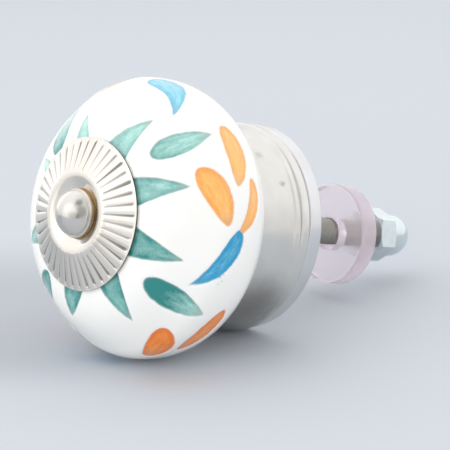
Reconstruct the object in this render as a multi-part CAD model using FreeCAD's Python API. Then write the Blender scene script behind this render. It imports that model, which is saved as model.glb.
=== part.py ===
import FreeCAD, Part
import math
import os

# Cabinet knob: a glazed ceramic ball between a fluted metal rosette and a round metal base, all clamped on
# one long bolt, with the washer and cap nut that hold it to a drawer front.
# The axis is Y. The front of the knob faces -Y, +Z is up, and the origin is the centre of the flat back
# face that meets the drawer front. Every size is in millimetres.

# Bolt
shank_diameter = 4.0
shank_length = 62.5
head_diameter = 6.9
head_edge = 0.55
dome_height = 2.5

# Front rosette, pressed from sheet
rosette_diameter = 21.6
rosette_sheet = 0.45
rosette_rise = 2.05
rosette_rim_land = 0.7
rosette_hole_clearance = 0.25
dish_depth = 0.85
dish_floor_margin = 0.35
dish_wall_width = 1.6
flute_count = 40
flute_start_margin = 0.55
flute_end_margin = 0.3
flute_inner_width = 0.25
flute_outer_width = 0.55
flute_inner_depth = 0.1
flute_outer_depth = 0.27

# Ceramic body
ceramic_diameter = 40.0
ceramic_front_depth = 10.3
ceramic_rear_depth = 8.5
belly_band = 0.7
front_seat_inset = 0.5
front_seat_slope = 10.0
shoulder_depth = 2.5
shoulder_drop = 4.6
crown_depth = 6.3
crown_drop = 1.5
rear_seat_diameter = 29.2
ceramic_bore_clearance = 0.7

# Base drum, a drawn cup with a rolled rear rim
drum_length = 9.5
drum_diameter = 29.7
drum_taper = 0.8
drum_wall = 0.8
drum_shoulder_round = 1.4
drum_hole_clearance = 0.35
drum_rest_gap = 0.05
rim_width = 1.8
rim_thickness = 1.6
rim_stand = 0.35
rim_round = 0.45

# Back plate, a shallow pressed pan with a dish for the clamp nut
plate_stand = 0.05
plate_depth = 2.6
plate_sheet = 0.9
plate_edge_round = 0.5
plate_hole_clearance = 0.2
nut_dish_room = 1.45
nut_dish_spare_depth = 0.3

# Nuts
nut_across_flats = 7.0
clamp_nut_height = 3.2
cap_nut_hex_height = 3.2
cap_nut_height = 8.0
cap_nut_dome_diameter = 6.4
cap_nut_hole_depth = 5.5
cap_nut_end_room = 0.3
cap_nut_turn = 12.0
thread_clearance = 0.05
nut_chamfer_angle = 30.0

# Clear washer
washer_diameter = 15.0
washer_thickness = 3.2
washer_hole_clearance = 0.4
washer_rest_gap = 0.05
washer_edge_round = 0.5
washer_to_cap_nut = 4.95

# Places along the axis, from the back face forwards
shank_radius = shank_diameter / 2
plate_front = -plate_depth
drum_rear = plate_front
drum_front = drum_rear - drum_length
ceramic_rear = drum_front
belly_rear = ceramic_rear - ceramic_rear_depth
belly_front = belly_rear - belly_band
ceramic_front = belly_front - ceramic_front_depth
rosette_rim = ceramic_front - rosette_sheet
rosette_crest = rosette_rim - rosette_rise
head_seat = rosette_crest + dish_depth
bolt_end = head_seat + shank_length
cap_nut_front = bolt_end - cap_nut_hole_depth + cap_nut_end_room
washer_rear = cap_nut_front - washer_to_cap_nut
washer_front = washer_rear - washer_thickness
nut_dish_floor = -(clamp_nut_height + nut_dish_spare_depth)
nut_corner_radius = nut_across_flats / math.sqrt(3)

Vector = FreeCAD.Vector
ORIGIN = Vector(0, 0, 0)
AXIS = Vector(0, 1, 0)


def at(along, out):
    """A point of a turned outline: its place along the axis and its distance from it."""
    return Vector(out, along, 0)


def line(start, end):
    return Part.LineSegment(start, end).toShape()


def path(*points):
    """Straight edges from point to point."""
    return [line(a, b) for a, b in zip(points, points[1:])]


def arc(start, middle, end):
    return Part.Arc(start, middle, end).toShape()


def turned(edges):
    """The solid that a closed outline sweeps in one turn about the axis."""
    return Part.Face(Part.Wire(edges)).revolve(ORIGIN, AXIS, 360)


def rounded(solid, radius, *rings):
    """The solid with its round edges at the given (along, out) places given a fillet."""
    edges = []
    for along, out in rings:
        for edge in solid.Edges:
            curve = edge.Curve
            if isinstance(curve, Part.Circle) and abs(curve.Radius - out) < 1e-4:
                if abs(curve.Center.y - along) < 1e-4:
                    edges.append(edge)
    return solid.makeFillet(radius, edges)


def sagitta_point(start, end, height):
    """The middle point of an arc from start to end that bulges by height to the left of that way."""
    middle = (start + end) / 2
    across = Vector(start.y - end.y, end.x - start.x, 0).normalize()
    return middle + across * height


def hex_prism(front, rear, turn):
    """A hexagonal nut blank along the axis, with its corners chamfered at both ends."""
    corners = []
    for step in range(7):
        angle = math.radians(turn + 60 * step)
        corners.append(at(front, 0) + Vector(math.cos(angle), 0, math.sin(angle)) * nut_corner_radius)
    prism = Part.Face(Part.makePolygon(corners)).extrude(AXIS * (rear - front))
    flat_radius = nut_across_flats / 2
    chamfer = (nut_corner_radius - flat_radius) * math.tan(math.radians(nut_chamfer_angle))
    blank = turned(path(
        at(front, 0),
        at(front, flat_radius),
        at(front + chamfer, nut_corner_radius),
        at(rear - chamfer, nut_corner_radius),
        at(rear, flat_radius),
        at(rear, 0),
        at(front, 0),
    ))
    return prism.common(blank)


def bolt():
    """A dome-headed bolt whose shank runs from the front of the knob to the cap nut."""
    head_radius = head_diameter / 2
    rim = head_seat - head_edge
    dome_radius = (head_radius ** 2 + dome_height ** 2) / (2 * dome_height)
    apex = rim - dome_height
    centre = apex + dome_radius
    half_angle = math.asin(head_radius / dome_radius) / 2
    on_dome = at(centre - dome_radius * math.cos(half_angle), dome_radius * math.sin(half_angle))
    point = shank_radius * 0.25
    edges = [arc(at(apex, 0), on_dome, at(rim, head_radius))]
    edges += path(
        at(rim, head_radius),
        at(head_seat, head_radius),
        at(head_seat, shank_radius),
        at(bolt_end - point, shank_radius),
        at(bolt_end, shank_radius - point),
        at(bolt_end, 0),
        at(apex, 0),
    )
    return turned(edges)


def front_rosette():
    """A pressed disc: a cone of radial flutes round a smooth dish that holds the bolt's head."""
    rim_radius = rosette_diameter / 2
    cone_outer = rim_radius - rosette_rim_land
    floor_radius = head_diameter / 2 + dish_floor_margin
    crest_radius = floor_radius + dish_wall_width
    hole_radius = shank_radius + rosette_hole_clearance

    def face(shift):
        hole = at(head_seat + shift, hole_radius)
        floor = at(head_seat + shift, floor_radius)
        crest = at(rosette_crest + shift, crest_radius)
        foot = at(rosette_rim + shift, cone_outer)
        rim = at(rosette_rim + shift, rim_radius)
        dish_wall = arc(floor, sagitta_point(floor, crest, -dish_depth / 5), crest)
        return hole, rim, [line(hole, floor), dish_wall, line(crest, foot), line(foot, rim)]

    front_hole, front_rim, front_edges = face(0)
    back_hole, back_rim, back_edges = face(rosette_sheet)
    disc = turned(front_edges + [line(front_rim, back_rim)] + back_edges[::-1] + [line(back_hole, front_hole)])
    slope = Vector(cone_outer - crest_radius, rosette_rise, 0).normalize()
    outward = Vector(slope.y, -slope.x, 0)
    start = at(rosette_crest, crest_radius) + slope * flute_start_margin
    end = at(rosette_rim, cone_outer) - slope * flute_end_margin

    def notch(point, width, depth):
        side = Vector(0, 0, width)
        root = point - outward * depth
        near = point + outward * depth + side
        far = point + outward * depth - side
        return Part.makePolygon([near, root, far, near])

    flute = Part.makeLoft(
        [notch(start, flute_inner_width, flute_inner_depth), notch(end, flute_outer_width, flute_outer_depth)],
        True,
        True,
    )
    flutes = []
    for step in range(flute_count):
        cutter = flute.copy()
        cutter.rotate(ORIGIN, AXIS, 360.0 * step / flute_count)
        flutes.append(cutter)
    return disc.cut(flutes)


def ceramic_body():
    """The glazed ball, flat where the rosette and the base bear on it, with a bore for the bolt."""
    belly_radius = ceramic_diameter / 2
    bore_radius = shank_radius + ceramic_bore_clearance
    front_edge = at(ceramic_front, rosette_diameter / 2 - front_seat_inset)
    shoulder = at(ceramic_front + shoulder_depth, belly_radius - shoulder_drop)
    crown = at(ceramic_front + crown_depth, belly_radius - crown_drop)
    slope = math.radians(front_seat_slope)
    crown_curve = Part.BSplineCurve()
    crown_curve.interpolate(
        Points=[front_edge, shoulder, crown, at(belly_front, belly_radius)],
        InitialTangent=at(math.sin(slope), math.cos(slope)),
        FinalTangent=AXIS,
    )
    rear_drop = belly_radius - rear_seat_diameter / 2
    rear_round = (ceramic_rear_depth ** 2 + rear_drop ** 2) / (2 * rear_drop)
    half_turn = math.atan2(rear_drop, ceramic_rear_depth)
    rear_edge = at(ceramic_rear, rear_seat_diameter / 2)
    half_way = at(
        belly_rear + rear_round * math.sin(half_turn),
        belly_radius - rear_round * (1 - math.cos(half_turn)),
    )
    edges = [
        line(at(ceramic_front, bore_radius), front_edge),
        crown_curve.toShape(),
        line(at(belly_front, belly_radius), at(belly_rear, belly_radius)),
        arc(at(belly_rear, belly_radius), half_way, rear_edge),
        line(rear_edge, at(ceramic_rear, bore_radius)),
        line(at(ceramic_rear, bore_radius), at(ceramic_front, bore_radius)),
    ]
    return turned(edges)


def base_drum():
    """A drawn cup, open to the rear, whose rear edge is rolled into a thick rim.

    It is only clamped, so it hangs on the bolt and lies low by the clearance of its hole.
    """
    rear_radius = drum_diameter / 2
    front_radius = rear_radius - drum_taper
    rim_radius = rear_radius + rim_stand
    rim_front = drum_rear - rim_width
    hole_radius = shank_radius + drum_hole_clearance
    floor = drum_front + drum_wall
    edges = path(
        at(drum_front, hole_radius),
        at(drum_front, front_radius),
        at(rim_front, rear_radius),
        at(rim_front, rim_radius),
        at(drum_rear, rim_radius),
        at(drum_rear, rim_radius - rim_thickness),
        at(rim_front, rim_radius - rim_thickness),
        at(rim_front, rear_radius - drum_wall),
        at(floor, front_radius - drum_wall),
        at(floor, hole_radius),
        at(drum_front, hole_radius),
    )
    cup = turned(edges)
    cup = rounded(cup, drum_shoulder_round, (drum_front, front_radius))
    cup = rounded(cup, rim_round, (drum_rear, rim_radius))
    cup = rounded(cup, rim_stand * 0.9, (rim_front, rim_radius))
    cup.translate(Vector(0, 0, drum_rest_gap - drum_hole_clearance))
    return cup


def back_plate():
    """A pressed pan: a rim turned forwards, a flat back face and a dish that hides the clamp nut."""
    rim_radius = drum_diameter / 2 + plate_stand
    dish_radius = nut_corner_radius + nut_dish_room
    dish_front = nut_dish_floor - plate_sheet
    hole_radius = shank_radius + plate_hole_clearance
    edges = path(
        at(plate_front, rim_radius - plate_sheet),
        at(plate_front, rim_radius),
        at(0, rim_radius),
        at(0, dish_radius),
        at(nut_dish_floor, dish_radius),
        at(nut_dish_floor, hole_radius),
        at(dish_front, hole_radius),
        at(dish_front, dish_radius + plate_sheet),
        at(-plate_sheet, dish_radius + plate_sheet),
        at(-plate_sheet, rim_radius - plate_sheet),
        at(plate_front, rim_radius - plate_sheet),
    )
    pan = turned(edges)
    bend = plate_edge_round
    pan = rounded(pan, bend, (0, rim_radius), (0, dish_radius), (dish_front, dish_radius + plate_sheet))
    return rounded(pan, plate_sheet / 3, (plate_front, rim_radius))


def clamp_nut():
    """The hexagonal nut in the back plate's dish, which clamps the whole knob on its bolt."""
    rear = nut_dish_floor + clamp_nut_height
    nut = hex_prism(nut_dish_floor, rear, 0)
    bore = Part.makeCylinder(shank_radius + thread_clearance, clamp_nut_height, at(nut_dish_floor, 0), AXIS)
    return nut.cut(bore)


def clear_washer():
    """A thick clear plastic washer that hangs loose on the shank."""
    radius = washer_diameter / 2
    hole_radius = shank_radius + washer_hole_clearance
    ring = turned(path(
        at(washer_front, hole_radius),
        at(washer_front, radius),
        at(washer_rear, radius),
        at(washer_rear, hole_radius),
        at(washer_front, hole_radius),
    ))
    ring = rounded(ring, washer_edge_round, (washer_front, radius), (washer_rear, radius))
    ring.translate(Vector(0, 0, washer_rest_gap - washer_hole_clearance))
    return ring


def cap_nut():
    """A domed hexagonal nut that closes the end of the bolt."""
    hex_rear = cap_nut_front + cap_nut_hex_height
    tip = cap_nut_front + cap_nut_height
    dome_radius = cap_nut_dome_diameter / 2
    dome_foot = tip - dome_radius
    body = hex_prism(cap_nut_front, hex_rear, cap_nut_turn)
    dome = turned(
        path(at(tip, 0), at(cap_nut_front, 0), at(cap_nut_front, dome_radius), at(dome_foot, dome_radius))
        + [arc(at(dome_foot, dome_radius),
               at(dome_foot + dome_radius * math.sin(math.pi / 4), dome_radius * math.cos(math.pi / 4)),
               at(tip, 0))]
    )
    bore = Part.makeCylinder(shank_radius + thread_clearance, cap_nut_hole_depth, at(cap_nut_front, 0), AXIS)
    return body.fuse(dome).cut(bore)


pieces = {
    "bolt": bolt(),
    "front_rosette": front_rosette(),
    "ceramic_body": ceramic_body(),
    "base_drum": base_drum(),
    "back_plate": back_plate(),
    "clamp_nut": clamp_nut(),
    "clear_washer": clear_washer(),
    "cap_nut": cap_nut(),
}

os.makedirs("parts", exist_ok=True)
for name, shape in pieces.items():
    shape.exportStep(f"parts/{name}.step")
    print(f"{name}: valid {shape.isValid()}, {len(shape.Solids)} solid, {shape.Volume:.1f} mm3")
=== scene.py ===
import math

import bmesh
import bpy
import numpy as np
from bpy.props import FloatProperty, FloatVectorProperty, IntProperty, PointerProperty
from mathutils import Euler, Matrix, Vector
from mathutils.geometry import interpolate_bezier


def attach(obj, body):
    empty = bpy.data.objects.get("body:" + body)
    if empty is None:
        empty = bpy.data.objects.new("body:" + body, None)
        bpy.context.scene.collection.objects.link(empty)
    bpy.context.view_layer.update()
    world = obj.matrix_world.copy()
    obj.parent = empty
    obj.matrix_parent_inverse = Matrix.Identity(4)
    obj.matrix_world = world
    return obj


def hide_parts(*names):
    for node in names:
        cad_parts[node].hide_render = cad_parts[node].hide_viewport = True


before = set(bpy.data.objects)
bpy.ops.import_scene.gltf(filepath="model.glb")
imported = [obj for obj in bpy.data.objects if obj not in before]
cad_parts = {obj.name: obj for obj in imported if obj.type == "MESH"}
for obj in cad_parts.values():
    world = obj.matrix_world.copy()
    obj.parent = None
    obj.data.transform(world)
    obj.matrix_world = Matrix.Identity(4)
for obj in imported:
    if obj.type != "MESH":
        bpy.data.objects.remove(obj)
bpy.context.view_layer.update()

bl_info = {
    "name": "Ceramic Cabinet Knob",
    "version": (1, 0, 0),
    "blender": (4, 5, 0),
    "location": "View3D > Sidebar > Knob",
    "description": "Builds a hand-painted ceramic cabinet knob with its nickel fittings and a plain studio",
    "category": "Object",
}

# One millimetre in metres. Outlines are written in millimetres: along the axis, out from it, corner round.
MM = 0.001
# The knob's widest radius in mm.
BELLY_RADIUS = 20


def linear(code):
    """The linear colour of an sRGB hex code."""
    channels = [int(code[i:i + 2], 16) / 255 for i in (0, 2, 4)]
    return tuple(c / 12.92 if c <= 0.04045 else ((c + 0.055) / 1.055) ** 2.4 for c in channels)


def size_property(name, description, default_mm):
    return FloatProperty(name=name, description=description, default=default_mm * MM, unit="LENGTH",
                         subtype="DISTANCE", precision=5)


def colour_property(name, description, code):
    return FloatVectorProperty(name=name, description=description, default=linear(code), size=3,
                               min=0, max=1, subtype="COLOR")


class KnobSizes(bpy.types.PropertyGroup):
    flute_count: IntProperty(name="Flutes", description="Number of pressed flutes round the rosette", default=40,
                             min=8)
    flute_depth: size_property("Flute depth", "Depth of a flute at its outer end", 0.27)
    flute_width: size_property("Flute width", "Width of a flute at its outer end", 0.56)
    thread_pitch: size_property("Thread pitch", "Distance from crest to crest of the bolt's thread", 0.7)
    thread_depth: size_property("Thread depth", "Height of the bolt's thread", 0.34)
    leaf_recess: size_property("Leaf recess", "Depth to which the painted leaves are carved into the ball", 0.14)
    leaf_shoulder: size_property("Leaf shoulder", "Width of the slope round a carved leaf", 0.35)


class KnobColours(bpy.types.PropertyGroup):
    glaze: colour_property("Glaze", "White of the glazed ball", "F7F6F2")
    green_deep: colour_property("Deep green", "Heavy brush of the green leaves and rays", "19837F")
    green_pale: colour_property("Pale green", "Thin brush of the green leaves and rays", "B3E0D7")
    orange_deep: colour_property("Deep orange", "Heavy brush of the petals", "EF7815")
    orange_pale: colour_property("Pale orange", "Thin brush of the petals", "FFC470")
    blue_deep: colour_property("Deep blue", "Heavy brush of the curled leaves", "1297C8")
    blue_pale: colour_property("Pale blue", "Thin brush of the curled leaves", "A0E0EA")
    # A grey line just inside the edge of each painted shape.
    outline: colour_property("Outline", "Grey line that the pigment leaves round each shape", "9FABA5")
    nickel: colour_property("Nickel", "Bright nickel of the rosette", "E7E2DA")
    head_nickel: colour_property("Head nickel", "Greyer nickel of the bolt's head", "D8D5D0")
    # Flute shade is painted shade in the flutes and a painted shadow under the rosette's rim.
    flute_shade: colour_property("Flute shade", "Polish left in the bottom of the flutes", "6C665E")
    brass: colour_property("Brass", "Bare edge of the bolt's head, under the dome", "B49C78")
    base_nickel: colour_property("Base nickel", "Polished nickel of the drum", "DAD8D4")
    plate_nickel: colour_property("Plate nickel", "Cooler nickel of the back plate", "DBDBDD")
    # Dull spots on the base, and the painted shade on the drum's lower side.
    smudge_and_shade: colour_property("Smudge", "Dull spots on the base", "77766F")
    thread_metal: colour_property("Thread", "Dull plating of the threaded bolt", "A7A49C")
    zinc: colour_property("Zinc", "Blue-green zinc plating of the nuts", "DDE6E9")
    clear_plastic: colour_property("Clear plastic", "Faint lilac of the clear washer", "F8C6EA")
    floor: colour_property("Floor", "Pale paper under the knob", "C7CCD3")
    # The floor band is a painted shadow beside the knob.
    floor_painted_shadow: colour_property("Floor band", "Darker stretch of the paper beside the knob", "B4B9C0")
    backdrop: colour_property("Backdrop", "Pale paper behind the knob", "DAE0E6")
    backdrop_high: colour_property("High backdrop", "Paper behind the knob, higher up", "D3D8E0")


class KnobStudio(bpy.types.PropertyGroup):
    daylight: FloatProperty(name="Daylight", description="Strength of the light from all round", default=1.0, min=0)
    key_box: FloatProperty(name="Key softbox", description="Radiance of the softbox above and to the left",
                           default=0.15, min=0)
    fill_box: FloatProperty(name="Fill softbox", description="Radiance of the long low softbox before the knob",
                            default=2.8, min=0)
    side_box: FloatProperty(name="Side softbox", description="Radiance of the softbox beside the bolt", default=0.8,
                            min=0)


def draw_outline(bm, corners, closed):
    """Draws an outline of (along, out, round) corners and rounds them."""
    ring = [bm.verts.new((out * MM, along * MM, 0)) for along, out, _ in corners]
    ends = ring[1:] + ring[:1] if closed else ring[1:]
    for start, end in zip(ring, ends):
        bm.edges.new((start, end))
    for vert, (_, _, rounding) in zip(ring, corners):
        if rounding:
            bmesh.ops.bevel(bm, geom=[vert], offset=rounding * MM, offset_type="OFFSET", segments=6,
                            profile=0.5, affect="VERTICES", material=-1)


def turn(bm, steps):
    """Turns whatever is drawn once about the knob's axis: an eighth is spun, then doubled three times."""
    bmesh.ops.spin(bm, geom=bm.verts[:] + bm.edges[:], cent=(0, 0, 0), axis=(0, 1, 0), dvec=(0, 0, 0),
                   angle=math.tau / 8, steps=steps // 8, use_merge=False, use_normal_flip=False,
                   use_duplicate=False)
    for eighths in (1, 2, 4):
        copy = bmesh.ops.duplicate(bm, geom=bm.verts[:] + bm.edges[:] + bm.faces[:])["geom"]
        bmesh.ops.rotate(bm, verts=[part for part in copy if isinstance(part, bmesh.types.BMVert)],
                         cent=(0, 0, 0), matrix=Matrix.Rotation(math.tau * eighths / 8, 3, "Y"))
    bmesh.ops.remove_doubles(bm, verts=bm.verts, dist=2e-7)
    bmesh.ops.recalc_face_normals(bm, faces=bm.faces)


def turned(corners, steps, closed=True):
    bm = bmesh.new()
    draw_outline(bm, corners, closed)
    turn(bm, steps)
    return bm


def sphere_corners(centre, radius, start, end, count):
    """Outline corners along a round end: angles in degrees from the front of the axis."""
    corners = []
    for step in range(count + 1):
        angle = math.radians(start + (end - start) * step / count)
        corners.append((centre - radius * math.cos(angle), radius * math.sin(angle), 0))
    return corners


def places(mesh):
    """The mesh's vertices in mm, one row each."""
    spots = np.empty(len(mesh.vertices) * 3)
    mesh.vertices.foreach_get("co", spots)
    return spots.reshape(-1, 3) / MM


def smooth_step(values):
    """Runs from 0 to 1 with a soft start and end."""
    held = np.clip(values, 0, 1)
    return held * held * (3 - 2 * held)


def finish_piece(name, bm, material, slot, *nodes, crease=32):
    """Makes the bmesh a smooth piece that rides on the knob and stands for CAD nodes."""
    for face in bm.faces:
        face.smooth = True
    for edge in bm.edges:
        edge.smooth = edge.calc_face_angle(0) < math.radians(crease)
    mesh = bpy.data.meshes.new(name)
    bm.to_mesh(mesh)
    bm.free()
    mesh.materials.append(material)
    obj = bpy.data.objects.new(name, mesh)
    bpy.context.scene.collection.objects.link(obj)
    even = obj.modifiers.new("even_shading", "WEIGHTED_NORMAL")
    even.keep_sharp = True
    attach(obj, "root")
    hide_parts(*nodes)
    return obj


def add(tree, kind, settings=None, inputs=None):
    """Adds a node with its settings; an input is a value, or an output socket to link."""
    node = tree.nodes.new(kind)
    for key, value in (settings or {}).items():
        setattr(node, key, value)
    for key, value in (inputs or {}).items():
        if isinstance(value, bpy.types.NodeSocket):
            tree.links.new(value, node.inputs[key])
        else:
            node.inputs[key].default_value = value
    return node


def new_finish(name, colour, metallic, roughness):
    """A material with one Principled shader, and that shader."""
    material = bpy.data.materials.new(name)
    material.use_nodes = True
    shader = material.node_tree.nodes["Principled BSDF"]
    shader.inputs["Base Color"].default_value = (*colour, 1)
    shader.inputs["Metallic"].default_value = metallic
    shader.inputs["Roughness"].default_value = roughness
    return material, material.node_tree, shader


def plated_metal(name, colour, roughness, wave_mm, wave_height_mm, mottle=0.06):
    """Plated metal: faint cloudy patches, long waves left by pressing or polishing, and fine scuffs."""
    material, tree, shader = new_finish(name, colour, 1.0, roughness)
    place = add(tree, "ShaderNodeTexCoord").outputs["Object"]
    clouds = add(tree, "ShaderNodeTexNoise", None, {"Vector": place, "Scale": 1000 / 4.0, "Detail": 3.0})
    fade = add(tree, "ShaderNodeMapRange", None,
               {"Value": clouds.outputs["Fac"], "From Min": 0.35, "From Max": 0.7, "To Min": 1.0,
                "To Max": 1.0 - mottle})
    tint = add(tree, "ShaderNodeMix", {"data_type": "RGBA", "blend_type": "MULTIPLY"},
               {0: 1.0, 6: (*colour, 1), 7: fade.outputs["Result"]})
    tree.links.new(tint.outputs[2], shader.inputs["Base Color"])
    # Scuffs 0.9 mm apart, drawn wider than the real polishing marks so that they show.
    scuffs = add(tree, "ShaderNodeTexNoise", None, {"Vector": place, "Scale": 1000 / 0.9, "Detail": 2.0})
    dull = add(tree, "ShaderNodeMapRange", None,
               {"Value": scuffs.outputs["Fac"], "From Min": 0.3, "From Max": 0.75,
                "To Min": roughness * 0.9, "To Max": roughness * 1.3})
    tree.links.new(dull.outputs["Result"], shader.inputs["Roughness"])
    waves = add(tree, "ShaderNodeTexNoise", None, {"Vector": place, "Scale": 1000 / wave_mm, "Detail": 1.5})
    bump = add(tree, "ShaderNodeBump", None,
               {"Height": waves.outputs["Fac"], "Distance": wave_height_mm * MM, "Strength": 1.0})
    tree.links.new(bump.outputs["Normal"], shader.inputs["Normal"])
    return material


def lay_colour(material, mask, colour):
    """Lays a darker colour over a finish where the mask, made from its node tree, is 1: smudges, the brass edge, and
    painted shade.
    """
    tree = material.node_tree
    base = tree.nodes["Principled BSDF"].inputs["Base Color"]
    over = add(tree, "ShaderNodeMix", {"data_type": "RGBA"},
               {0: mask(tree), 6: base.links[0].from_socket, 7: (*colour, 1)})
    tree.links.new(over.outputs[2], base)


def flute_painted_shade_mask(tree):
    """Painted shade in the flutes and a painted contact shadow under the rim, held below full so that the metal still
    shines there.
    """
    depth = add(tree, "ShaderNodeAttribute", {"attribute_name": "flute"}).outputs["Fac"]
    return add(tree, "ShaderNodeMath", {"operation": "MULTIPLY"}, {0: depth, 1: 0.75}).outputs[0]


def head_edge_mask(tree):
    """The straight edge of the bolt's head, behind its dome."""
    place = add(tree, "ShaderNodeTexCoord").outputs["Object"]
    along = add(tree, "ShaderNodeSeparateXYZ", None, {0: place}).outputs["Y"]
    return add(tree, "ShaderNodeMapRange", None,
               {"Value": along, "From Min": -33.72 * MM, "From Max": -33.62 * MM}).outputs["Result"]


# Spots on a surface: place in mm, radius in mm, strength. The drum's last one is painted shade, a dark reflection
# painted on its lower side; the others are smudges.
DRUM_SMUDGES_AND_SHADE = (((12.01, -6.81, 8.0), 0.75, 0.75), ((8.52, -9.0, 11.56), 1.3, 0.4),
                ((11.2, -7.6, -9.4), 5.0, 0.62))
BLUE_SPLASHES = (((19.13, -22.69, -4.59), 0.42, 0.8), ((19.13, -22.22, -5.13), 0.34, 0.7),
                 ((18.89, -22.6, -5.6), 0.36, 0.6), ((19.33, -22.22, -4.29), 0.26, 0.7))


def spot_mask(tree, spots):
    """Ragged spots, full in the middle."""
    place = add(tree, "ShaderNodeTexCoord").outputs["Object"]
    ragged = add(tree, "ShaderNodeTexNoise", None, {"Vector": place, "Scale": 1000 / 0.8, "Detail": 2.0})
    total = 0.0
    for spot, radius, strength in spots:
        away = add(tree, "ShaderNodeVectorMath", {"operation": "DISTANCE"}, {0: place, 1: Vector(spot) * MM})
        uneven = add(tree, "ShaderNodeMath", {"operation": "MULTIPLY_ADD"},
                     {0: ragged.outputs["Fac"], 1: min(radius, 1.5) * MM, 2: away.outputs["Value"]})
        near = add(tree, "ShaderNodeMapRange", {"interpolation_type": "SMOOTHSTEP"},
                   {"Value": uneven.outputs[0], "From Min": radius * 1.5 * MM, "From Max": radius * 0.3 * MM,
                    "To Max": strength})
        total = add(tree, "ShaderNodeMath", {"operation": "ADD"}, {0: near.outputs["Result"], 1: total}).outputs[0]
    return total


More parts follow.
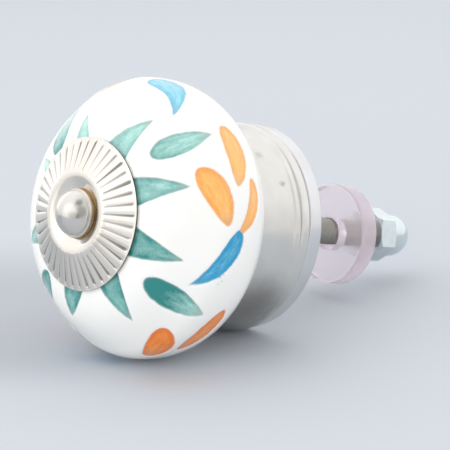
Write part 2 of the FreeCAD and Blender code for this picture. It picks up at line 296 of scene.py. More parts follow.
def glazed_stoneware(colours):
    """White stoneware, hand painted in three pigments under a clear glossy glaze."""
    material, tree, shader = new_finish("glazed_painted_stoneware", colours.glaze, 0.0, 0.1)
    place = add(tree, "ShaderNodeTexCoord").outputs["Object"]
    leaf = add(tree, "ShaderNodeSeparateXYZ", None,
               {0: add(tree, "ShaderNodeAttribute", {"attribute_name": "leaf"}).outputs["Vector"]})
    inside, along, tone = leaf.outputs
    pigment = add(tree, "ShaderNodeAttribute", {"attribute_name": "pigment"}).outputs["Fac"]
    stroke = add(tree, "ShaderNodeAttribute", {"attribute_name": "stroke"}).outputs["Vector"]
    # The brush leaves an uneven edge: it wanders by about 0.1 mm.
    wander = add(tree, "ShaderNodeTexNoise", None, {"Vector": place, "Scale": 1000 / 1.3, "Detail": 2.0})
    wobble = add(tree, "ShaderNodeMath", {"operation": "MULTIPLY_ADD"},
                 {0: wander.outputs["Fac"], 1: 0.24, 2: -0.12})
    edge = add(tree, "ShaderNodeMath", {"operation": "ADD"}, {0: inside, 1: wobble.outputs[0]}).outputs[0]
    covered = add(tree, "ShaderNodeMapRange", {"interpolation_type": "SMOOTHSTEP"},
                  {"Value": edge, "From Min": -0.14, "From Max": 0.16}).outputs["Result"]
    # Brush streaks run along each shape, about 0.4 mm apart, over the grain of the pigment.
    streaks = add(tree, "ShaderNodeTexNoise", None, {"Vector": stroke, "Scale": 2.4, "Detail": 3.0})
    grain = add(tree, "ShaderNodeTexNoise", None, {"Vector": place, "Scale": 1000 / 0.35, "Detail": 2.0})
    uneven = add(tree, "ShaderNodeMath", {"operation": "MULTIPLY_ADD"},
                 {0: streaks.outputs["Fac"], 1: 0.9, 2: tone})
    uneven = add(tree, "ShaderNodeMath", {"operation": "MULTIPLY_ADD"},
                 {0: grain.outputs["Fac"], 1: 0.35, 2: uneven.outputs[0]})
    # The loaded brush starts each green shape heavy and runs dry towards its tip.
    # The orange is thicker and more even.
    is_orange = add(tree, "ShaderNodeMath", {"operation": "GREATER_THAN"}, {0: pigment, 1: 0.5}).outputs[0]
    is_blue = add(tree, "ShaderNodeMath", {"operation": "GREATER_THAN"}, {0: pigment, 1: 1.5}).outputs[0]
    drying = add(tree, "ShaderNodeMath", {"operation": "MULTIPLY_ADD"},
                 {0: is_orange, 1: -0.36, 2: 0.46}).outputs[0]
    # A heavy stroke pales faster along its length.
    paling = add(tree, "ShaderNodeMapRange", None,
                 {"Value": tone, "From Min": 0.3, "From Max": -0.5, "To Max": 1.52}).outputs["Result"]
    drying = add(tree, "ShaderNodeMath", {"operation": "ADD"}, {0: drying, 1: paling}).outputs[0]
    uneven = add(tree, "ShaderNodeMath", {"operation": "MULTIPLY_ADD"}, {0: along, 1: drying, 2: uneven.outputs[0]})
    # Pigment pools near the edge, so the middle of a shape is thinner.
    pooled = add(tree, "ShaderNodeMapRange", {"interpolation_type": "SMOOTHSTEP"},
                 {"Value": edge, "From Min": 0.1, "From Max": 1.1, "To Min": 1.03, "To Max": 0.76}).outputs["Result"]
    uneven = add(tree, "ShaderNodeMath", {"operation": "SUBTRACT", "use_clamp": True},
                 {0: uneven.outputs[0], 1: pooled})
    brushed = []
    for green, orange, blue in ((colours.green_deep, colours.orange_deep, colours.blue_deep),
                                (colours.green_pale, colours.orange_pale, colours.blue_pale)):
        warm = add(tree, "ShaderNodeMix", {"data_type": "RGBA"}, {0: is_orange, 6: (*green, 1), 7: (*orange, 1)})
        cool = add(tree, "ShaderNodeMix", {"data_type": "RGBA"}, {0: is_blue, 6: warm.outputs[2], 7: (*blue, 1)})
        brushed.append(cool.outputs[2])
    colour = add(tree, "ShaderNodeMix", {"data_type": "RGBA"},
                 {0: uneven.outputs[0], 6: brushed[0], 7: brushed[1]}).outputs[2]
    # The pigment thins out to grey in the last quarter, towards the tip, and a grey line runs just inside its edge.
    thin = add(tree, "ShaderNodeMapRange", {"interpolation_type": "SMOOTHSTEP"},
               {"Value": along, "From Min": 0.66, "From Max": 1.0, "To Max": 0.7}).outputs["Result"]
    rimmed = add(tree, "ShaderNodeMapRange", None,
                 {"Value": edge, "From Min": 0.32, "From Max": 0.04, "To Min": 0.0, "To Max": 0.35}).outputs["Result"]
    greyed = add(tree, "ShaderNodeMath", {"operation": "MAXIMUM"}, {0: thin, 1: rimmed}).outputs[0]
    warm_share = add(tree, "ShaderNodeMath", {"operation": "MULTIPLY_ADD"}, {0: is_orange, 1: -0.72, 2: 1.0})
    greyed = add(tree, "ShaderNodeMath", {"operation": "MULTIPLY"}, {0: greyed, 1: warm_share.outputs[0]}).outputs[0]
    colour = add(tree, "ShaderNodeMix", {"data_type": "RGBA"},
                 {0: greyed, 6: colour, 7: (*colours.outline, 1)}).outputs[2]
    painted = add(tree, "ShaderNodeMix", {"data_type": "RGBA"},
                  {0: covered, 6: (*colours.glaze, 1), 7: colour}).outputs[2]
    # A loaded brush has splashed a little blue beside one curled leaf.
    painted = add(tree, "ShaderNodeMix", {"data_type": "RGBA"},
                  {0: spot_mask(tree, BLUE_SPLASHES), 6: painted, 7: (*colours.blue_deep, 1)}).outputs[2]
    tree.links.new(painted, shader.inputs["Base Color"])
    # The dipped glaze pools in waves about 7 mm long and a few hundredths of a millimetre high.
    pools = add(tree, "ShaderNodeTexNoise", None, {"Vector": place, "Scale": 1000 / 7.0, "Detail": 1.0})
    bump = add(tree, "ShaderNodeBump", None,
               {"Height": pools.outputs["Fac"], "Distance": 0.05 * MM, "Strength": 1.0})
    tree.links.new(bump.outputs["Normal"], shader.inputs["Normal"])
    shader.inputs["IOR"].default_value = 1.52
    shader.inputs["Coat Weight"].default_value = 0.35
    shader.inputs["Coat Roughness"].default_value = 0.03
    return material


def clear_acrylic(colour):
    """Moulded clear acrylic: clear straight through, faint lilac along its rim, where light crosses more of it."""
    material, tree, shader = new_finish("clear_moulded_acrylic", linear("FFF8FB"), 0.0, 0.18)
    shader.inputs["Transmission Weight"].default_value = 0.8
    shader.inputs["IOR"].default_value = 1.49
    place = add(tree, "ShaderNodeTexCoord").outputs["Object"]
    flow = add(tree, "ShaderNodeTexNoise", None, {"Vector": place, "Scale": 1000 / 3.0, "Detail": 1.0})
    bump = add(tree, "ShaderNodeBump", None,
               {"Height": flow.outputs["Fac"], "Distance": 0.04 * MM, "Strength": 1.0})
    tree.links.new(bump.outputs["Normal"], shader.inputs["Normal"])
    # It takes up about half a percent of green light in each millimetre.
    tint = add(tree, "ShaderNodeVolumeAbsorption", None, {"Color": (*colour, 1), "Density": 16.0})
    # It lets most of the light through to what it shades.
    see_through = add(tree, "ShaderNodeBsdfTransparent", None, {"Color": (*linear("F8F2F8"), 1)})
    shadow = add(tree, "ShaderNodeLightPath").outputs["Is Shadow Ray"]
    both = add(tree, "ShaderNodeMixShader", None, {0: shadow, 1: shader.outputs[0], 2: see_through.outputs[0]})
    output = tree.nodes["Material Output"]
    tree.links.new(both.outputs[0], output.inputs["Surface"])
    tree.links.new(tint.outputs[0], output.inputs["Volume"])
    return material


# Outline of the ball in mm: the front curve is three Bezier stretches, the rear is an arc down to the seat.
FRONT_CURVE = (
    ((-31.6, 10.3), (-31.231, 12.394), (-30.403, 14.021), (-29.1, 15.4)),
    ((-29.1, 15.4), (-27.975, 16.59), (-26.497, 17.595), (-25.3, 18.5)),
    ((-25.3, 18.5), (-24.257, 19.288), (-23.428, 20.0), (-21.3, 20.0)),
)
BELLY_REAR = -20.6
REAR_ROUND = 9.39
BALL_REAR = -12.1
BALL_BORE = 2.7

GREEN, ORANGE, BLUE = 0, 1, 2


def half_share(kind, steps):
    """Half width of a painted shape from its round end to its tip, as a share of the widest."""
    if kind == "ray":
        return 1 - steps ** 1.35
    if kind == "leaf":
        return steps ** 0.5 * (1 - steps) / 0.385
    return steps ** 0.5 * (1 - steps) ** 0.68 / 0.449


def ball_outline():
    """The outside of the ball from the rosette's seat to the base's seat, in mm along and out."""
    points = []
    for knots in FRONT_CURVE:
        points += [tuple(p) for p in interpolate_bezier(*(Vector(k) for k in knots), 21)[:-1]]
    points += [(-21.3, 20.0), (-20.95, 20.0)]
    last = math.asin((BALL_REAR - BELLY_REAR) / REAR_ROUND)
    for step in range(37):
        angle = last * step / 36
        points.append((BELLY_REAR + REAR_ROUND * math.sin(angle),
                       BELLY_RADIUS - REAR_ROUND * (1 - math.cos(angle))))
    return points


def ray(turn_at, tip_turn, tip, width, tone):
    """A pointed ray that starts under the rosette."""
    middle = (turn_at * 0.45 + tip_turn * 0.55, tip * 0.5)
    return "ray", GREEN, (turn_at, -0.5), middle, (tip_turn, tip), width, tone


def painted_shapes():
    """Every painted shape: kind, pigment, round end, bend, tip, widest, tone from below 0, heavy, to 1, thin.

    A place is (degrees about the axis from +X over the top, mm along the outline from the rosette's seat).
    """
    shapes = [
        ray(349.5, 349.3, 8.1, 4.3, 0.3),
        ray(28.2, 24.3, 8.3, 4.1, 0.52),
        ray(68, 65.5, 7.0, 4.3, 0.75),
        ray(110, 111.5, 4.7, 2.9, 0.95),
        ray(156, 155, 3.8, 2.6, 0.95),
        ray(205, 206, 5.2, 3.4, 0.6),
        ray(267.5, 261.5, 5.5, 4.3, 0.25),
        ray(309.8, 305.5, 6.9, 4.2, 0.36),
        ("leaf", GREEN, (46.5, 4.3), (46.8, 9), (46.5, 13.0), 3.5, 0.74),
        ("leaf", GREEN, (331, 4.6), (329.5, 10), (328.5, 14.0), 3.9, -0.37),
        ("leaf", GREEN, (141, 1.4), (130, 5.0), (128, 11.0), 3.9, 0.35),
        ("leaf", GREEN, (235, 1.9), (236.8, 7), (237.5, 11.3), 3.6, 0.3),
        ("petal", ORANGE, (30.5, 9.7), (21, 12.2), (7.6, 13.3), 3.9, 0.9),
        ("petal", ORANGE, (49.5, 15.4), (37.5, 16.7), (23.6, 15.1), 3.6, 1.0),
        ("petal", ORANGE, (27, 18.1), (15.5, 19.4), (4.2, 15.2), 2.4, 0.95),
        ("petal", ORANGE, (312.4, 10.9), (303.5, 13.0), (291.8, 13.2), 3.8, 0.25),
        ("petal", ORANGE, (330.5, 17.4), (317, 16.6), (303.6, 15.7), 3.0, 0.38),
        ("leaf", BLUE, (365.2, 15.5), (351.5, 14.2), (338.9, 9.8), 2.8, 0.28),
        ("leaf", BLUE, (91, 12.5), (76, 14.6), (61.6, 9.3), 3.5, 0.78),
    ]
    for centre, tone in ((137.5, 0.8), (236, 0.4)):
        shapes += [
            ("petal", ORANGE, (centre - 17, 11.7), (centre - 26, 13.4), (centre - 37, 14.2), 3.5, tone),
            ("petal", ORANGE, (centre, 16.2), (centre - 12, 17.2), (centre - 24, 15.6), 3.3, tone),
            ("petal", ORANGE, (centre - 22.5, 18.6), (centre - 31.5, 19.6), (centre - 42, 15.6), 2.3, tone),
            ("leaf", BLUE, (centre + 39, 13.9), (centre + 26, 14.6), (centre + 12, 9.6), 2.9, tone),
        ]
    return shapes


def paint_leaves(mesh, points):
    """Stores the painted shapes on the mesh: mm inside the nearest one, share along it, tone, pigment, stroke."""
    spots = places(mesh)
    outer = np.flatnonzero(np.hypot(spots[:, 0], spots[:, 2]) > 10)
    outline = np.array(points)
    reach = np.concatenate([[0], np.cumsum(np.hypot(*np.diff(outline, axis=0).T))])
    count = len(spots)
    inside = np.full(count, -9.0)
    along, tone, pigment = np.zeros(count), np.zeros(count), np.zeros(count)
    stroke = np.zeros((count, 3))
    steps = np.linspace(0, 1, 41)
    for number, (kind, colour, start, bend, tip, width, shade) in enumerate(painted_shapes()):
        start, bend, tip = (np.array(p, float)[:, None] for p in (start, bend, tip))
        turns, ways = start * (1 - steps) ** 2 + 2 * bend * steps * (1 - steps) + tip * steps ** 2
        angles = np.radians(turns)
        out = np.interp(ways, reach, outline[:, 1]) + np.minimum(ways, 0)
        spine = np.stack([out * np.cos(angles), np.interp(ways, reach, outline[:, 0]), out * np.sin(angles)], 1)
        half = width / 2 * half_share(kind, steps)
        middle = spine[20]
        near = outer[((spots[outer] - middle) ** 2).sum(1) < 81]
        gaps = np.linalg.norm(spots[near, None] - spine[None], axis=2)
        depth = half[None] - gaps
        found = depth.max(1)
        nearest = gaps.argmin(1)
        better = found > inside[near]
        kept, nearest = near[better], nearest[better]
        inside[kept] = found[better]
        along[kept] = steps[nearest]
        tone[kept] = shade
        pigment[kept] = colour
        ahead = np.gradient(spine, axis=0)[nearest]
        ahead /= np.linalg.norm(ahead, axis=1, keepdims=True)
        outward = spots[kept] * (1, 0, 1)
        outward /= np.linalg.norm(outward, axis=1, keepdims=True)
        across = ((spots[kept] - spine[nearest]) * np.cross(ahead, outward)).sum(1)
        length = np.linalg.norm(np.diff(spine, axis=0), axis=1).sum()
        stroke[kept] = np.stack([across, steps[nearest] * length * 0.22, np.full(len(kept), number * 5.0)], 1)
    leaf = np.stack([inside, along, tone], 1)
    for name, kind, values in (("leaf", "FLOAT_VECTOR", leaf), ("stroke", "FLOAT_VECTOR", stroke),
                               ("pigment", "FLOAT", pigment)):
        field = "vector" if kind == "FLOAT_VECTOR" else "value"
        mesh.attributes.new(name, kind, "POINT").data.foreach_set(field, values.ravel())
    return inside


class KNOB_OT_ball(bpy.types.Operator):
    """Builds the glazed ceramic ball with its carved and painted leaves"""
    bl_idname = "knob.ball"
    bl_label = "Ceramic ball"

    def execute(self, context):
        sizes, colours = context.scene.knob_sizes, context.scene.knob_colours
        points = ball_outline()
        (front, front_out), (rear, rear_out) = points[0], points[-1]
        corners = [(along, out, 0) for along, out in points]
        corners += [(rear, out, 0) for out in (rear_out - 0.5, 9, BALL_BORE)]
        corners += [(front, out, 0) for out in (BALL_BORE, 7, front_out - 0.5)]
        bm = turned(corners, 512)
        obj = finish_piece("painted_ceramic_ball", bm, glazed_stoneware(colours), "glaze", "ceramic_body", crease=50)
        mesh = obj.data
        inside = paint_leaves(mesh, points)
        spots = places(mesh)
        normals = np.empty(spots.size)
        mesh.vertex_normals.foreach_get("vector", normals)
        shoulder = sizes.leaf_shoulder / MM
        carved = smooth_step((inside + shoulder / 2) / shoulder) * sizes.leaf_recess / MM
        carved[np.hypot(spots[:, 0], spots[:, 2]) <= front_out + 0.05] = 0
        spots -= normals.reshape(-1, 3) * carved[:, None]
        mesh.vertices.foreach_set("co", (spots * MM).ravel())
        mesh.update()
        return {"FINISHED"}


class KNOB_OT_rosette(bpy.types.Operator):
    """Builds the pressed nickel rosette with its radial flutes"""
    bl_idname = "knob.rosette"
    bl_label = "Fluted rosette"

    def execute(self, context):
        sizes, colours = context.scene.knob_sizes, context.scene.knob_colours
        crest, foot, rim = 5.4, 10.62, 10.8
        crest_along, seat, front, sheet = -34.1, -33.25, -32.0, 0.4
        bm = bmesh.new()
        draw_outline(bm, [
            (seat, 2.25, 0.1), (seat, 3.75, 0.75), (crest_along, crest, 0.8), (front, foot, 0.12),
            (front + 0.06, rim, 0.07), (front + sheet, rim - 0.35, 0.05), (front + sheet, foot, 0),
            (crest_along + sheet, crest, 0.3), (seat + sheet, 3.75, 0.2), (seat + sheet, 2.25, 0),
        ], True)
        cone = [e for e in bm.edges if e.calc_length() > 3 * MM and
                max(v.co.y for v in e.verts) < (front + 0.01) * MM]
        bmesh.ops.subdivide_edges(bm, edges=cone, cuts=30)
        turn(bm, sizes.flute_count * 16)
        nickel = plated_metal("bright_nickel_plate_on_pressed_steel", colours.nickel, 0.14, 2.2, 0.015)
        # Painted shade in the flutes and under the rim.
        lay_colour(nickel, flute_painted_shade_mask, colours.flute_shade)
        obj = finish_piece("fluted_nickel_rosette", bm, nickel, "nickel", "front_rosette", crease=60)
        mesh = obj.data
        spots = places(mesh)
        out = np.hypot(spots[:, 0], spots[:, 2])
        turned_at = np.arctan2(spots[:, 2], spots[:, 0])
        slope = math.atan2(front - crest_along, foot - crest)
        surface = crest_along + (out - crest) * math.tan(slope)
        pitch = math.tau / sizes.flute_count
        number = np.round(turned_at / pitch).astype(int) % sizes.flute_count
        # Hand tooling leaves every flute a little different in length, width and depth.
        inner, outer, wide, deep = np.random.default_rng(7).uniform(
            (5.6, 10.42, 0.8, 0.7), (6.1, 10.62, 1.25, 1.15), (sizes.flute_count, 4))[number].T
        share = np.clip((out - inner) / (outer - inner), 0, 1)
        away = np.abs((turned_at + pitch / 2) % pitch - pitch / 2) * out
        end = np.clip(np.minimum(share / 0.1, (1 - share) / 0.08), 0, 1)
        half = wide * sizes.flute_width / MM / 2 * (0.45 + 0.55 * share) * np.sqrt(end * (2 - end)) + 1e-6
        flute = np.clip(1 - (away / half) ** 1.4, 0, 1) * (0.4 + 0.6 * share) * end * deep
        land = 0.18 * smooth_step(away / (out * pitch / 2) * -1 + 1) * smooth_step(share * 5)
        flute = np.maximum(flute, land)
        flute[(np.abs(spots[:, 1] - surface) > 0.15) & (out < foot - 0.2)] = 0
        flute[(spots[:, 1] > front + 0.02) | (share <= 0) | (out > foot)] = 0
        cut = flute * sizes.flute_depth / MM
        spots[:, 1] += cut * math.cos(slope)
        spots[:, 0] -= cut * math.sin(slope) * np.cos(turned_at)
        spots[:, 2] -= cut * math.sin(slope) * np.sin(turned_at)
        mesh.vertices.foreach_set("co", (spots * MM).ravel())
        # Painted shade: darker in the flutes, and a painted contact shadow under the rim, where the disc meets the
        # glaze.
        painted_flute_shade = np.clip(flute * 1.8 - 0.4, 0, 1)
        painted_flute_shade[(out > rim - 0.4) & (spots[:, 1] > front + 0.08)] = 1
        mesh.attributes.new("flute", "FLOAT", "POINT").data.foreach_set("value", painted_flute_shade)
        mesh.update()
        return {"FINISHED"}


class KNOB_OT_bolt(bpy.types.Operator):
    """Builds the dome-headed bolt and its thread"""
    bl_idname = "knob.bolt"
    bl_label = "Threaded bolt"

    def execute(self, context):
        sizes, colours = context.scene.knob_sizes, context.scene.knob_colours
        head = [(-36.3, 0, 0)] + sphere_corners(-32.67, 3.63, 4, 64, 16)
        head += [(-33.88, 3.3, 0.06), (-33.8, 3.45, 0.07), (-33.5, 3.45, 0.1), (-33.42, 3.3, 0.04), (-33.25, 3.3, 0),
                 (-33.25, 1.95, 0)]
        head += [(-11.5, 1.95, 0.2), (-11.5, 0, 0)]
        bm = turned(head, 96, closed=False)
        nickel = plated_metal("satin_nickel_plate_on_bolt_head", colours.head_nickel, 0.15, 1.3, 0.05)
        lay_colour(nickel, head_edge_mask, colours.brass)
        finish_piece("dome_bolt_head", bm, nickel, "nickel", "bolt", crease=40)
        pitch, depth, crest = sizes.thread_pitch, sizes.thread_depth, 1.99 * MM
        start, end, steps = -12.0 * MM, 29.2 * MM, 32
        turns = int((end - start) / pitch) - 1
        bm = bmesh.new()
        ways = ((0, 0), (0.08, 0), (0.42, 1), (0.58, 1), (0.92, 0), (1, 0))
        ring = [bm.verts.new((crest - depth * (1 - up), start + pitch * share, 0)) for share, up in ways]
        edges = [bm.edges.new(pair) for pair in zip(ring, ring[1:])]
        bmesh.ops.spin(bm, geom=ring + edges, cent=(0, 0, 0), axis=(0, 1, 0), dvec=(0, pitch / steps, 0),
                       angle=math.tau * turns, steps=steps * turns, use_merge=False, use_normal_flip=False,
                       use_duplicate=False)
        bmesh.ops.remove_doubles(bm, verts=bm.verts, dist=2e-6)
        bmesh.ops.holes_fill(bm, edges=[e for e in bm.edges if e.is_boundary], sides=0)
        bmesh.ops.recalc_face_normals(bm, faces=bm.faces)
        if bm.calc_volume(signed=True) < 0:
            bmesh.ops.reverse_faces(bm, faces=bm.faces)
        dull = plated_metal("dull_plated_steel_thread", colours.thread_metal, 0.35, 1.0, 0.02, mottle=0.15)
        obj = finish_piece("bolt_thread", bm, dull, "nickel", "bolt", crease=70)
        obj.modifiers.clear()
        return {"FINISHED"}


class KNOB_OT_base(bpy.types.Operator):
    """Builds the polished base: the drawn drum and the back plate"""
    bl_idname = "knob.base"
    bl_label = "Polished base"

    def execute(self, context):
        colours = context.scene.knob_colours
        nickel = plated_metal("polished_nickel_plate_on_drawn_sheet", colours.base_nickel, 0.2, 8.0, 0.03,
                              mottle=0.08)
        # Smudges on the drum, and painted shade on its lower side.
        lay_colour(nickel, lambda tree: spot_mask(tree, DRUM_SMUDGES_AND_SHADE), colours.smudge_and_shade)
        drum = turned([
            (-12.1, 2.35, 0), (-12.1, 14.05, 1.35), (-5.45, 14.72, 0.2), (-5.15, 14.86, 0.2), (-4.5, 14.9, 0.15),
            (-4.2, 15.15, 0.2), (-2.6, 15.2, 0.5), (-2.6, 13.65, 0.15), (-4.4, 13.65, 0.15), (-4.4, 14.05, 0),
            (-11.3, 13.25, 0.5), (-11.3, 2.35, 0),
        ], 256)
        bmesh.ops.translate(drum, verts=drum.verts, vec=(0, 0, -0.3 * MM))
        finish_piece("polished_base_drum", drum, nickel, "polished_base", "base_drum", crease=50)
        plate_nickel = plated_metal("polished_nickel_plate_on_pressed_pan", colours.plate_nickel, 0.2, 8.0, 0.03)
        plate = turned([
            (-2.6, 14.0, 0.1), (-2.6, 14.9, 0.3), (0, 14.9, 0.5), (0, 5.49, 0.4), (-3.5, 5.49, 0.3), (-3.5, 2.2, 0),
            (-4.4, 2.2, 0), (-4.4, 6.39, 0.5), (-0.9, 6.39, 0.3), (-0.9, 14.0, 0.3),
        ], 256)
        finish_piece("polished_back_plate", plate, plate_nickel, "polished_base", "back_plate", crease=50)
        return {"FINISHED"}


class KNOB_OT_washer(bpy.types.Operator):
    """Builds the clear moulded washer"""
    bl_idname = "knob.washer"
    bl_label = "Clear washer"

    def execute(self, context):
        colours = context.scene.knob_colours
        ring = turned([(15.9, 2.4, 0.15), (15.9, 7.5, 0.5), (19.1, 7.5, 0.5), (19.1, 2.4, 0.15)], 192)
        bmesh.ops.translate(ring, verts=ring.verts, vec=(0, 0, -0.35 * MM))
        finish_piece("clear_acrylic_washer", ring, clear_acrylic(colours.clear_plastic), "clear_plastic",
                     "clear_washer", crease=50)
        return {"FINISHED"}


def hexagonal(name, corners, across_flats, turned_by):
    """A turned blank cut to a hexagon; a second mesh does the cutting and is removed."""
    blank, cutter = bmesh.new(), bmesh.new()
    draw_outline(blank, corners, True)
    turn(blank, 192)
    bmesh.ops.create_circle(cutter, cap_ends=True, segments=6, radius=across_flats / math.sqrt(3) * MM)
    face = cutter.faces[:]
    block = bmesh.ops.extrude_face_region(cutter, geom=face)
    bmesh.ops.translate(cutter, verts=[v for v in block["geom"] if isinstance(v, bmesh.types.BMVert)],
                        vec=(0, 0, 0.06))
    bmesh.ops.recalc_face_normals(cutter, faces=cutter.faces)
    place = Matrix.Rotation(math.radians(-turned_by), 4, "Y") @ Matrix.Rotation(math.radians(90), 4, "X")
    bmesh.ops.transform(cutter, matrix=place, verts=cutter.verts)
    middle = sum((v.co for v in cutter.verts), Vector()) / len(cutter.verts)
    bmesh.ops.translate(cutter, verts=cutter.verts, vec=(-middle.x, -middle.y + 0.015, -middle.z))
    objects = []
    for label, bm in ((name, blank), (name + "_cutter", cutter)):
        mesh = bpy.data.meshes.new(label)
        bm.to_mesh(mesh)
        bm.free()
        obj = bpy.data.objects.new(label, mesh)
        bpy.context.scene.collection.objects.link(obj)
        objects.append(obj)
    cut = objects[0].modifiers.new("flats", "BOOLEAN")
    cut.operation, cut.solver, cut.object = "INTERSECT", "EXACT", objects[1]
    bpy.context.view_layer.update()
    shaped = bpy.data.meshes.new_from_object(objects[0].evaluated_get(bpy.context.evaluated_depsgraph_get()))
    for obj in objects:
        bpy.data.objects.remove(obj)
    bm = bmesh.new()
    bm.from_mesh(shaped)
    bpy.data.meshes.remove(shaped)
    # The cut leaves double points where a chamfer's cone only touches a flat.
    bmesh.ops.remove_doubles(bm, verts=bm.verts, dist=2e-6)
    return bm


class KNOB_OT_nuts(bpy.types.Operator):
    """Builds the clamp nut in the back plate and the domed cap nut"""
    bl_idname = "knob.nuts"
    bl_label = "Zinc plated nuts"

    def execute(self, context):
        colours = context.scene.knob_colours
        zinc = plated_metal("clear_blue_zinc_plate", colours.zinc, 0.2, 1.6, 0.03, mottle=0.12)
        corner, flat = 4.03, 3.5
        chamfer = (corner - flat) * math.tan(math.radians(30))
        clamp = hexagonal("clamp_nut_blank", [
            (-3.5, 2.02, 0), (-3.5, flat, 0), (-3.5 + chamfer, corner, 0), (-0.3 - chamfer, corner, 0),
            (-0.3, flat, 0), (-0.3, 2.02, 0)], 7, 0)
        finish_piece("zinc_clamp_nut", clamp, zinc, "zinc_plate", "clamp_nut", crease=30)
        front, hex_rear, foot = 24.05, 27.25, 28.85
        corners = [(front, 2.02, 0), (front, flat, 0), (front + chamfer, corner, 0), (hex_rear - chamfer, corner, 0),
                   (hex_rear, flat, 0), (hex_rear, 3.2, 0)]
        corners += sphere_corners(foot, 3.2, 90, 179.9, 24)
        corners += [(29.6, 0.01, 0), (29.55, 2.02, 0)]
        cap = hexagonal("cap_nut_blank", corners, 7, 12)
        finish_piece("zinc_cap_nut", cap, zinc, "zinc_plate", "cap_nut", crease=30)
        return {"FINISHED"}


# Regions of the studio's light: direction, angle in degrees of the edge and of the full part, amount added.
SKY_REGIONS = (
    ((-0.75, -0.4, 0.5), 65, 15, 0.45),
    ((-0.05, -0.97, 0.05), 45, 15, 0.6),
    ((-0.97, 0.2, 0.17), 32, 8, 0.4),
    ((-0.05, 0.7, 0.7), 60, 20, 0.35),
    ((0.9, 0.45, -0.05), 60, 20, 0.15),
    ((0.72, -0.62, 0.25), 34, 8, -0.3),
    ((0.25, -0.55, 0.8), 20, 6, -0.5),
    ((0.3, -0.92, -0.3), 32, 14, -0.45),
)


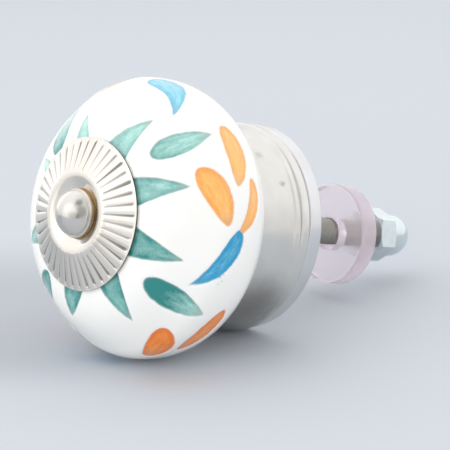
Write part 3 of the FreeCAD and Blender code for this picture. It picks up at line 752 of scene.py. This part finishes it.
class KNOB_OT_studio(bpy.types.Operator):
    """Builds the paper floor, the soft light and the camera"""
    bl_idname = "knob.studio"
    bl_label = "Studio"

    def execute(self, context):
        scene, colours, studio = context.scene, context.scene.knob_colours, context.scene.knob_studio
        # The knob lies on its belly and on the lowest point of the drum's rolled rim.
        belly = Vector((BELLY_REAR, -(BELLY_RADIUS - REAR_ROUND)))
        rim, rim_round = Vector((-3.05, -15.05)), 0.45
        span = rim - belly
        lean = math.asin((REAR_ROUND - rim_round) / span.length) + math.atan2(span.y, span.x)
        touch = belly + REAR_ROUND * Vector((math.sin(lean), -math.cos(lean)))
        bm = bmesh.new()
        bmesh.ops.create_circle(bm, cap_ends=True, segments=128, radius=0.5)
        tilt = Matrix.Translation((0, touch.x * MM, touch.y * MM)) @ Matrix.Rotation(lean, 4, "X")
        bmesh.ops.transform(bm, matrix=tilt, verts=bm.verts)
        mesh = bpy.data.meshes.new("paper_floor")
        bm.to_mesh(mesh)
        bm.free()
        floor = bpy.data.objects.new("paper_floor", mesh)
        scene.collection.objects.link(floor)
        mesh.materials.append(self.paper(colours, touch))
        self.light_world(scene, colours, studio)
        # The long box stands a little above the paper, so the knob hides it from the paper that it touches.
        for name, radiance, place, long, high in (
                ("key_softbox", studio.key_box, (-0.75, -0.5, 0.85), 1.2, 1.2),
                ("fill_softbox", studio.fill_box, (0.38, -1.02, 0.03), 2.0, 0.24),
                ("side_softbox", studio.side_box, (0.85, 0.35, 0.3), 0.8, 0.45)):
            lamp = bpy.data.lights.new(name, "AREA")
            lamp.shape, lamp.size, lamp.size_y = "RECTANGLE", long, high
            lamp.energy = radiance * math.pi * long * high
            box = bpy.data.objects.new(name, lamp)
            box.location = place
            box.rotation_euler = (Vector((0, -16 * MM, 0)) - box.location).to_track_quat("-Z", "Y").to_euler()
            box.visible_glossy = False
            scene.collection.objects.link(box)
        camera = bpy.data.cameras.new("camera")
        camera.lens, camera.sensor_width = 240, 36
        camera.clip_start, camera.clip_end = 0.02, 10
        view = bpy.data.objects.new("camera", camera)
        view.location = (0.3147, -0.3032, 0.04536)
        view.rotation_euler = Euler([math.radians(a) for a in (83.9165, -9.6135, 47.5773)])
        scene.collection.objects.link(view)
        scene.camera = view
        scene.view_settings.view_transform = "Standard"
        return {"FINISHED"}

    def paper(self, colours, touch):
        """Matt paper, seen from above only, which fades into the backdrop away from the knob."""
        material, tree, shader = new_finish("matt_backdrop_paper", colours.floor, 0.0, 0.85)
        shader.inputs["Specular IOR Level"].default_value = 0.15
        place = add(tree, "ShaderNodeTexCoord").outputs["Object"]
        # Painted shadow: a darker stretch, about 50 mm wide, lies across the paper to the left of the knob, standing
        # for the knob's broad soft shadow.
        depth = add(tree, "ShaderNodeVectorMath", {"operation": "DOT_PRODUCT"},
                    {0: place, 1: (-0.726, 0.688, 0.0)}).outputs["Value"]
        painted_shadow_band = add(tree, "ShaderNodeMapRange", {"interpolation_type": "SMOOTHSTEP"},
                   {"Value": depth, "From Min": -0.03, "From Max": -0.01}).outputs["Result"]
        back = add(tree, "ShaderNodeMapRange", {"interpolation_type": "SMOOTHSTEP"},
                   {"Value": depth, "From Min": 0.02, "From Max": 0.05, "To Min": 1.0,
                    "To Max": 0.0}).outputs["Result"]
        aside = add(tree, "ShaderNodeVectorMath", {"operation": "DOT_PRODUCT"},
                    {0: place, 1: (0.688, 0.726, 0.0)}).outputs["Value"]
        left = add(tree, "ShaderNodeMapRange", {"interpolation_type": "SMOOTHSTEP"},
                   {"Value": aside, "From Min": -0.03, "From Max": 0.015, "To Min": 1.0,
                    "To Max": 0.0}).outputs["Result"]
        both = add(tree, "ShaderNodeMath", {"operation": "MULTIPLY"}, {0: painted_shadow_band, 1: back}).outputs[0]
        both = add(tree, "ShaderNodeMath", {"operation": "MULTIPLY"}, {0: both, 1: left}).outputs[0]
        colour = add(tree, "ShaderNodeMix", {"data_type": "RGBA"},
                     {0: both, 6: (*colours.floor, 1), 7: (*colours.floor_painted_shadow, 1)})
        tree.links.new(colour.outputs[2], shader.inputs["Base Color"])
        centre = (0, touch.x * MM, touch.y * MM)
        away = add(tree, "ShaderNodeVectorMath", {"operation": "DISTANCE"}, {0: place, 1: centre}).outputs["Value"]
        faded = add(tree, "ShaderNodeMapRange", {"interpolation_type": "SMOOTHSTEP"},
                    {"Value": away, "From Min": 0.14, "From Max": 0.36}).outputs["Result"]
        below = add(tree, "ShaderNodeNewGeometry").outputs["Backfacing"]
        gone = add(tree, "ShaderNodeMath", {"operation": "MAXIMUM"}, {0: faded, 1: below}).outputs[0]
        clear = add(tree, "ShaderNodeBsdfTransparent")
        mixed = add(tree, "ShaderNodeMixShader", None, {0: gone, 1: shader.outputs[0], 2: clear.outputs[0]})
        tree.links.new(mixed.outputs[0], tree.nodes["Material Output"].inputs["Surface"])
        return material

    def light_world(self, scene, colours, studio):
        """Soft light from all round in broad bright and dim regions; a straight view sees the backdrop."""
        world = bpy.data.worlds.new("studio")
        scene.world = world
        world.use_nodes = True
        tree = world.node_tree
        background = tree.nodes["Background"]
        way = add(tree, "ShaderNodeTexCoord").outputs["Generated"]
        up = add(tree, "ShaderNodeSeparateXYZ", None, {0: way})
        light = add(tree, "ShaderNodeMapRange", None,
                    {"Value": up.outputs["Z"], "From Min": -1.0, "From Max": 1.0, "To Min": 0.6,
                     "To Max": 0.95}).outputs["Result"]
        for direction, edge, core, amount in SKY_REGIONS:
            toward = add(tree, "ShaderNodeVectorMath", {"operation": "DOT_PRODUCT"},
                         {0: way, 1: Vector(direction).normalized()})
            region = add(tree, "ShaderNodeMapRange", {"interpolation_type": "SMOOTHSTEP"},
                         {"Value": toward.outputs["Value"], "From Min": math.cos(math.radians(edge)),
                          "From Max": math.cos(math.radians(core)), "To Max": amount})
            light = add(tree, "ShaderNodeMath", {"operation": "ADD"},
                        {0: light, 1: region.outputs["Result"]}).outputs[0]
        light = add(tree, "ShaderNodeMath", {"operation": "MULTIPLY"}, {0: light, 1: studio.daylight}).outputs[0]
        path = add(tree, "ShaderNodeLightPath").outputs
        seen = add(tree, "ShaderNodeMath", {"operation": "MAXIMUM"},
                   {0: path["Is Camera Ray"], 1: path["Is Transmission Ray"]}).outputs[0]
        # The backdrop is a little darker and bluer towards the top of the picture.
        high = add(tree, "ShaderNodeMapRange", {"interpolation_type": "SMOOTHSTEP"},
                   {"Value": up.outputs["Z"], "From Min": -0.11, "From Max": -0.035}).outputs["Result"]
        paper = add(tree, "ShaderNodeMix", {"data_type": "RGBA"},
                    {0: high, 6: (*colours.backdrop, 1), 7: (*colours.backdrop_high, 1)}).outputs[2]
        colour = add(tree, "ShaderNodeMix", {"data_type": "RGBA"}, {0: seen, 6: (1, 1, 1, 1), 7: paper})
        strength = add(tree, "ShaderNodeMix", None, {0: seen, 2: light, 3: 1.0})
        tree.links.new(colour.outputs[2], background.inputs["Color"])
        tree.links.new(strength.outputs[0], background.inputs["Strength"])


class KNOB_PT_parts(bpy.types.Panel):
    """Lists the knob's pieces, sizes and colours"""
    bl_idname = "KNOB_PT_parts"
    bl_label = "Ceramic knob"
    bl_space_type = "VIEW_3D"
    bl_region_type = "UI"
    bl_category = "Knob"

    def draw(self, context):
        for operator in OPERATORS:
            self.layout.operator(operator.bl_idname)
        for group in (context.scene.knob_sizes, context.scene.knob_colours, context.scene.knob_studio):
            column = self.layout.column()
            for name in group.__annotations__:
                column.prop(group, name)


OPERATORS = (KNOB_OT_ball, KNOB_OT_rosette, KNOB_OT_bolt, KNOB_OT_base, KNOB_OT_washer, KNOB_OT_nuts, KNOB_OT_studio)
GROUPS = {"knob_sizes": KnobSizes, "knob_colours": KnobColours, "knob_studio": KnobStudio}


def register():
    for cls in (*GROUPS.values(), *OPERATORS, KNOB_PT_parts):
        bpy.utils.register_class(cls)
    for name, group in GROUPS.items():
        setattr(bpy.types.Scene, name, PointerProperty(type=group))


def unregister():
    for name in GROUPS:
        delattr(bpy.types.Scene, name)
    for cls in (KNOB_PT_parts, *reversed(OPERATORS), *GROUPS.values()):
        bpy.utils.unregister_class(cls)


def main():
    register()
    bpy.ops.knob.ball()
    bpy.ops.knob.rosette()
    bpy.ops.knob.bolt()
    bpy.ops.knob.base()
    bpy.ops.knob.washer()
    bpy.ops.knob.nuts()
    bpy.ops.knob.studio()


if __name__ == "__main__":
    main()
